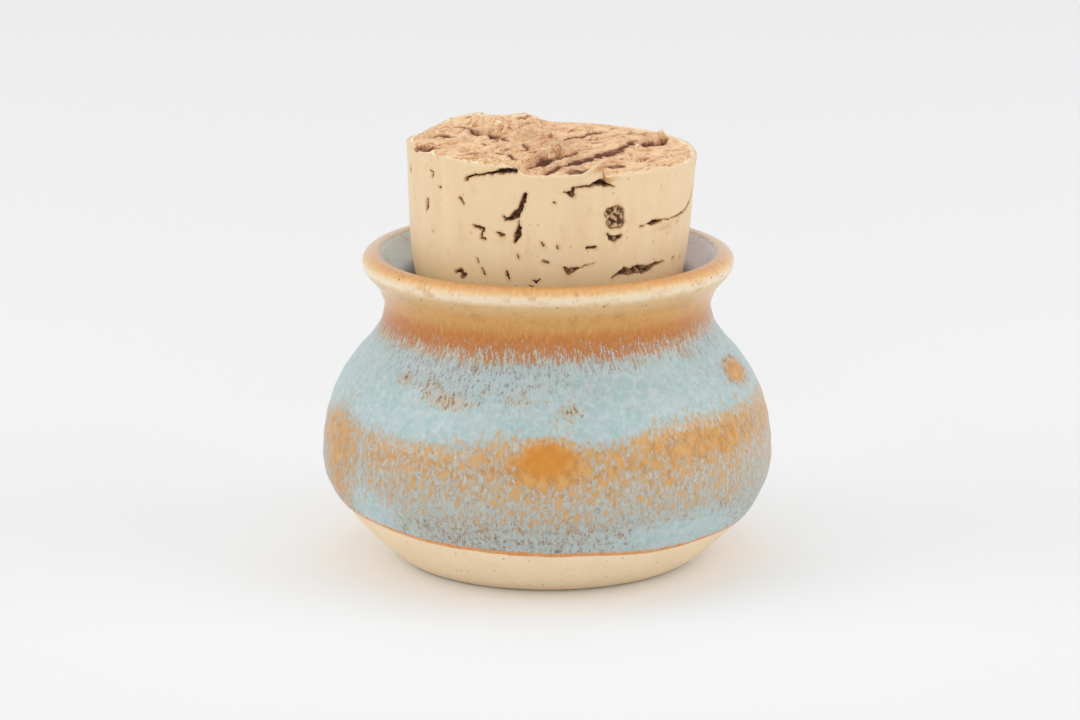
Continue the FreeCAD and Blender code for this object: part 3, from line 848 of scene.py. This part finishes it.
def markFlank(angle, height, radius):
    # push inwards, darkness and stain of the flank at this spot
    push = 0.0
    dark = 0.0
    stain = 0.0
    for path, depth, crumbs, box in flankBoxes:
        if not (box[2] < height < box[3]):
            continue
        turned = path[0][0] + turnBetween(path[0][0], angle)
        if not (box[0] < turned < box[1]):
            continue
        flat = [(radians(a) * radius, h, w) for a, h, w in path]
        here = radians(turned) * radius
        ragX = here + 0.18 * rough(here, height, 3.0, 0.55) + 0.1 * rough(here, height, 8.0, 0.22)
        ragY = height + 0.18 * rough(here, height, 13.0, 0.55) + 0.1 * rough(here, height, 18.0, 0.22)
        distance, place = nearPath(flat, ragX, ragY)
        index = min(int(place * (len(path) - 1)), len(path) - 2)
        share = place * (len(path) - 1) - index
        width = path[index][2] * (1 - share) + path[index + 1][2] * share
        hollow = rise(width + 0.08, width - 0.08, distance)
        stain = max(stain, 0.7 * rise(width + 0.45, width, distance))
        if hollow <= 0:
            continue
        inner = rise(width, width * 0.4, distance)
        lump = rise(-0.3, 0.2, rough(here, height, 30.0, 0.75)) * crumbs
        seam = rise(0.16, 0.04, abs(rough(here, height, 40.0, 0.7)))
        push = max(push, depth * (0.4 * hollow + 0.6 * inner) * (1 - 0.65 * lump * inner))
        # a dark ring round each pore: its dark rim, with painted shade under its edge
        darkEdgeAndShade = hollow * rise(width - 0.34, width - 0.1, distance)
        inside = (1 - 0.8 * lump) * (0.55 + 0.45 * inner) + 0.5 * crumbs * seam
        dark = max(dark, hollow * min(1.0, max(inside, 0.8 * darkEdgeAndShade)))
    return push, dark, stain


def boxOf(path):
    widest = max(w for a, h, w in path) + 0.8
    low = min(h for a, h, w in path) - widest
    high = max(h for a, h, w in path) + widest
    turn = degrees(widest / 20.0)
    return (min(a for a, h, w in path) - turn, max(a for a, h, w in path) + turn, low, high)


flankBoxes = [(path, depth, crumbs, boxOf(path)) for path, depth, crumbs in flankMarks.values()]


def refineNear(shape):
    # finer faces where the flank has pores
    chosen = set()
    for face in shape.faces:
        centre = face.calc_center_median()
        if not 5.0 < centre.z < corkSizes["height"] + 0.1:
            continue
        radius = hypot(centre.x, centre.y)
        if radius < flankRadius(centre.z) - 0.6:
            continue
        angle = degrees(atan2(centre.x, -centre.y))
        shift = rimHeight(angle) - corkSizes["height"]
        share = rise(corkSizes["height"] - corkSizes["rimFall"], corkSizes["height"], centre.z)
        height = centre.z + shift * share
        dark, stain = markFlank(angle, height, radius)[1:]
        if stain > 0.25 or dark > 0:
            chosen.update(face.edges)
    bmesh.ops.subdivide_edges(shape, edges=list(chosen), cuts=2, use_grid_fill=True)
    print("refined", len(chosen), "edges")


def rimHeight(angle):
    base = along(rimHeights, turnBetween(0.0, angle))
    chip = curledChip
    curl = chip["height"] * rise(chip["start"], chip["peak"], angle) ** chip["bend"]
    curl *= rise(chip["end"], chip["fall"], angle)
    curl -= chip["notch"] * exp(-((angle - chip["notchAngle"]) / chip["notchHalf"]) ** 2)
    return base + curl + corkSizes["rimRipple"] * rough(*onDrum(angle, 22, 0.0), 0.8)


def buildCork():
    c = corkSizes
    shape = lathe(corkSection(), c["steps"])[0]
    refineNear(shape)
    wrap = shape.verts.layers.float_vector.new("wrap")
    tornField, poreField, stainAndCreaseShadeField, reliefField = addFields(shape, corkFields)
    topRadius = flankRadius(c["height"])
    rimTable = {}
    for corner in shape.verts:
        x, y, z = corner.co
        radius = hypot(x, y)
        angle = degrees(atan2(x, -y))
        corner[wrap] = onDrum(angle, c["wrapRadius"], z)
        key = round(angle * 10)
        if key not in rimTable:
            rimPoint = (topRadius - 0.3) / max(radius, 0.001)
            atRim = tornFace(x * rimPoint, y * rimPoint)[0]
            rimTable[key] = (rimHeight(angle) - c["height"], atRim)
        wanted, atRim = rimTable[key]
        if z > c["height"] - 0.001 and radius < topRadius - c["rimRound"] + 0.001:
            height, crack, stain, relief = tornFace(x, y)
            corner[reliefField] = relief
            near = rise(topRadius - 3.2, topRadius - 0.5, radius)
            lip = rise(9.0, 13.0, angle) * rise(23.0, 21.0, angle)
            lip *= rise(topRadius - 0.5, topRadius - 1.6, radius)
            corner.co.z += height + (wanted - atRim) * near - max(0.0, wanted - 0.3) * near * lip
            inner = topRadius - 1.3 + 0.8 * rough(x, y, 2.0, 1.0)
            corner[tornField] = rise(topRadius - 0.35, inner, radius)
            corner[poreField] = crack
            corner[stainAndCreaseShadeField] = stain
        elif z > 3.0:
            corner.co.z += wanted * rise(c["height"] - c["rimFall"], c["height"], z)
            push, dark, stain = markFlank(angle, corner.co.z, radius)
            push *= rise(0.0, 0.45, c["height"] + wanted - corner.co.z)
            ripple = c["ripple"] * rough(*onDrum(angle, c["wrapRadius"], z * 0.15), 1.6)
            scale = (radius - push + ripple) / radius
            corner.co.x = x * scale
            corner.co.y = y * scale
            corner[poreField] = dark
            for centre, level, halfWide, halfHigh, amount in flankStains.values():
                across = radians(turnBetween(centre, angle)) * radius / halfWide
                up = (z - level) / halfHigh
                stain = max(stain, amount * exp(-across * across - up * up))
            corner[stainAndCreaseShadeField] = stain
    lean = Matrix.Rotation(radians(c["lean"]), 4, "Y")
    bmesh.ops.transform(shape, matrix=Matrix.Translation((0, 0, c["throat"])) @ lean, verts=shape.verts)
    return closeUp(shape, "naturalCork")


def naturalCork():
    paint = Paint(bpy.data.materials.new("naturalCork"))
    cloud, mix, step, wash = paint.cloud, paint.mix, paint.step, paint.wash
    wrap = paint.field("wrap", 1)
    place = paint.node("ShaderNodeTexCoord", {}, {}, 3)
    torn, pore, stain, relief = [paint.field(name) for name in corkFields]
    fibres = cloud(wrap, (2.2, 2.2, 0.12), 3.0, 0.6)
    bands = cloud(wrap, (0.35, 0.35, 0.06), 2.0, 0.5)
    grain = cloud(wrap, (3.5, 3.5, 3.5), 3.0, 0.65)
    blotches = cloud(wrap, (0.5, 0.5, 0.4), 2.0, 0.5)
    side = wash((235, 208, 168), (231, 202, 160), bands, 0.3, 0.7)
    side = wash(side, (240, 218, 184), fibres, 0.5, 0.8, 0.2)
    side = wash(side, (208, 170, 122), fibres, 0.42, 0.2, 0.15)
    side = wash(side, (208, 172, 128), grain, 0.52, 0.8, 0.3)
    side = wash(side, (218, 184, 138), blotches, 0.55, 0.75, 0.35)
    # painted shade and orange bounce light from the jar's lip: the flank is painted warmer towards its
    # bottom
    upward = paint.node("ShaderNodeSeparateXYZ", {}, {0: wrap}, 2)
    side = wash(side, (238, 188, 126), upward, 12.0, 5.0, 0.5)
    dots = paint.node("ShaderNodeTexVoronoi", {}, {"Vector": wrap, "Scale": 0.45})
    side = wash(side, (190, 132, 84), dots, 0.13, 0.05, 0.45)
    perMillimetre = (1 / mm,) * 3
    turned = paint.node("ShaderNodeMapping", {}, {
        "Vector": place, "Rotation": (0, 0, radians(-corkSizes["grainTurn"])), "Scale": perMillimetre})
    threads = cloud(turned, (0.55, 3.2, 1.6), 5.0, 0.7)
    fluff = cloud(turned, (2.4, 4.0, 2.6), 4.0, 0.7)
    patches = cloud(turned, (0.2, 0.4, 0.3), 4.0, 0.6)
    # overlapping flakes, each ending in a thin line of painted shadow
    flakes = cloud(turned, (0.1, 0.3, 0.25), 4.0, 0.55)
    terrace = paint.node("ShaderNodeMath", {"operation": "FRACT"}, {0: flakes * 11})
    darkEdgeAndShade = step(terrace, 0.78, 0.92) * step(patches, 0.4, 0.58, 0.15, 1.0)
    coarseness = step(patches, 0.4, 0.6, 0.35, 1.0)
    # painted light on the torn face: its ridges are painted pale as painted highlights and its creases
    # darker as painted shade
    lit = 0.5 + (relief - 0.5 + (threads - 0.5) * 1.0 + (fluff - 0.5) * 0.4) * coarseness
    lit = lit + (patches - 0.5) * 0.5
    top = wash((250, 214, 170), (232, 180, 130), patches, 0.35, 0.65)
    top = wash(top, (255, 238, 204), lit, 0.53, 0.85, 0.85)
    top = wash(top, (180, 114, 66), lit, 0.47, 0.2, 0.9)
    # painted shadow along the flake edges
    top = mix(darkEdgeAndShade * step(threads, 0.35, 0.55), top, (158, 92, 50))
    colour = mix(torn, side, top)
    # the torn face is paler at the rim, partly its own colour and partly a painted highlight along the
    # rounded edge
    cutEdgeAndHighlight = step(torn, 0.02, 0.2) * step(torn, 0.9, 0.5)
    colour = mix(cutEdgeAndHighlight * step(blotches, 0.4, 0.6, 0.4, 0.85), colour, (255, 240, 208))
    # stains, and painted shade along the creases of the torn face
    rusty = mix(torn, (198, 142, 84), (168, 104, 68))
    colour = mix(stain * 0.75 * step(fluff, 0.3, 0.6, 0.3, 1.0), colour, rusty)
    crumbs = wash((116, 80, 52), (184, 144, 100), fluff, 0.38, 0.62)
    purple = wash((122, 64, 36), (196, 138, 98), fluff, 0.36, 0.66)
    crumbs = mix(torn, crumbs, purple)
    deep = wash((66, 40, 25), (118, 78, 50), fluff, 0.4, 0.7)
    deepPurple = wash((72, 32, 16), (138, 82, 52), fluff, 0.4, 0.7)
    deep = mix(torn, deep, deepPurple)
    ragged = pore + ((fluff - 0.5) * 1.3 + (threads - 0.5) * 1.1) * torn
    colour = wash(colour, crumbs, ragged, 0.12, 0.5, 0.95)
    colour = wash(colour, deep, ragged, 0.6, 0.9, 0.95)
    crumbly = (threads + fluff + terrace * 0.7) * torn * (1 + pore * 1.5)
    heights = [(fibres * 0.4 + grain, 0.05 * mm, 0.5), (crumbly, 0.16 * mm, 0.55)]
    roughness = 0.5 + torn * 0.37
    return paint.finish(colour, roughness, heights, {"IOR": 1.4, "Sheen Weight": 0.08})


print("turning the cork")
keepPiece("naturalCork", buildCork(), naturalCork(), "cork")


studio = {
    "floorReach": 4.0,
    # the floor is painted lighter and bluer near the jar, painted light against its shadow and warm bounce,
    # and lighter far off, painted light for the dimmer distance
    "nearFloorPaintedLight": (247, 249, 251),
    "floorColour": (241, 241, 241),
    "farFloorPaintedLight": (248, 248, 248),
    "nearToMiddle": (0.03, 0.11),  # metres from the jar
    "middleToFar": (0.15, 0.6),
    "floorRoughness": 0.9,
    "horizonLight": 0.91,
    "zenithLight": 0.7,
    "skyRise": (0.05, 0.9),
    "lightAim": 30.0,  # height the softboxes face, in millimetres
    "lens": 160.0,
    "sensor": 36.0,
    "clip": (0.01, 20.0),
    "aim": (-1.146, 0.0, 30.304),  # millimetres
    "distance": 736.8,
    "elevation": 14.09,
    "softboxes": {
        "overhead": {"place": (0, 150, 700), "size": (560, 560), "power": 0.5},
        "front": {"place": (0, -900, 300), "size": (900, 380), "power": 0.57},
        "left": {"place": (-600, -140, 400), "size": (620, 500), "power": 1.13},
        "right": {"place": (600, -140, 400), "size": (620, 500), "power": 1.13},
    },
}


def buildFloor():
    shape = bmesh.new()
    bmesh.ops.create_circle(shape, cap_ends=True, segments=96, radius=studio["floorReach"])
    mesh = bpy.data.meshes.new("studioFloor")
    shape.to_mesh(mesh)
    shape.free()
    ground = bpy.data.objects.new("studioFloor", mesh)
    bpy.context.scene.collection.objects.link(ground)
    paint = Paint(bpy.data.materials.new("paleFloor"))
    place = paint.node("ShaderNodeTexCoord", {}, {}, 3)
    away = paint.node("ShaderNodeVectorMath", {"operation": "LENGTH"}, {0: place}, 1)
    # painted light: the floor is lighter near the jar and far away
    pale = paint.wash(studio["nearFloorPaintedLight"], studio["floorColour"], away, *studio["nearToMiddle"])
    pale = paint.wash(pale, studio["farFloorPaintedLight"], away, *studio["middleToFar"])
    mesh.materials.append(paint.finish(pale, studio["floorRoughness"], [], {"IOR": 1.2}))


def lightScene():
    world = bpy.data.worlds.new("whiteTent")
    paint = Paint(world)
    way = paint.node("ShaderNodeTexCoord")
    up = paint.node("ShaderNodeSeparateXYZ", {}, {0: way}, 2)
    strength = paint.step(up, *studio["skyRise"], studio["horizonLight"], studio["zenithLight"])
    sky = paint.node("ShaderNodeBackground", {}, {"Color": (1.0, 1.0, 1.0, 1.0), "Strength": strength})
    paint.node("ShaderNodeOutputWorld", {}, {"Surface": sky})
    bpy.context.scene.world = world
    middle = Vector((0, 0, studio["lightAim"])) * mm
    for name, box in studio["softboxes"].items():
        light = bpy.data.lights.new(name, "AREA")
        light.shape = "RECTANGLE"
        light.size, light.size_y = box["size"][0] * mm, box["size"][1] * mm
        light.energy = box["power"]
        lamp = bpy.data.objects.new(name, light)
        lamp.location = Vector(box["place"]) * mm
        lamp.rotation_euler = (lamp.location - middle).to_track_quat("Z", "Y").to_euler()
        bpy.context.scene.collection.objects.link(lamp)


def placeCamera():
    camera = bpy.data.cameras.new("camera")
    camera.lens = studio["lens"]
    camera.sensor_width = studio["sensor"]
    tilt = radians(studio["elevation"])
    back = Vector((0, -cos(tilt), sin(tilt)))
    view = bpy.data.objects.new("camera", camera)
    view.location = (Vector(studio["aim"]) + back * studio["distance"]) * mm
    view.rotation_euler = (pi / 2 - tilt, 0, 0)
    camera.clip_start, camera.clip_end = studio["clip"]
    bpy.context.scene.collection.objects.link(view)
    bpy.context.scene.camera = view


buildFloor()
lightScene()
placeCamera()
bpy.context.scene.view_settings.view_transform = "Standard"
print("studio ready")
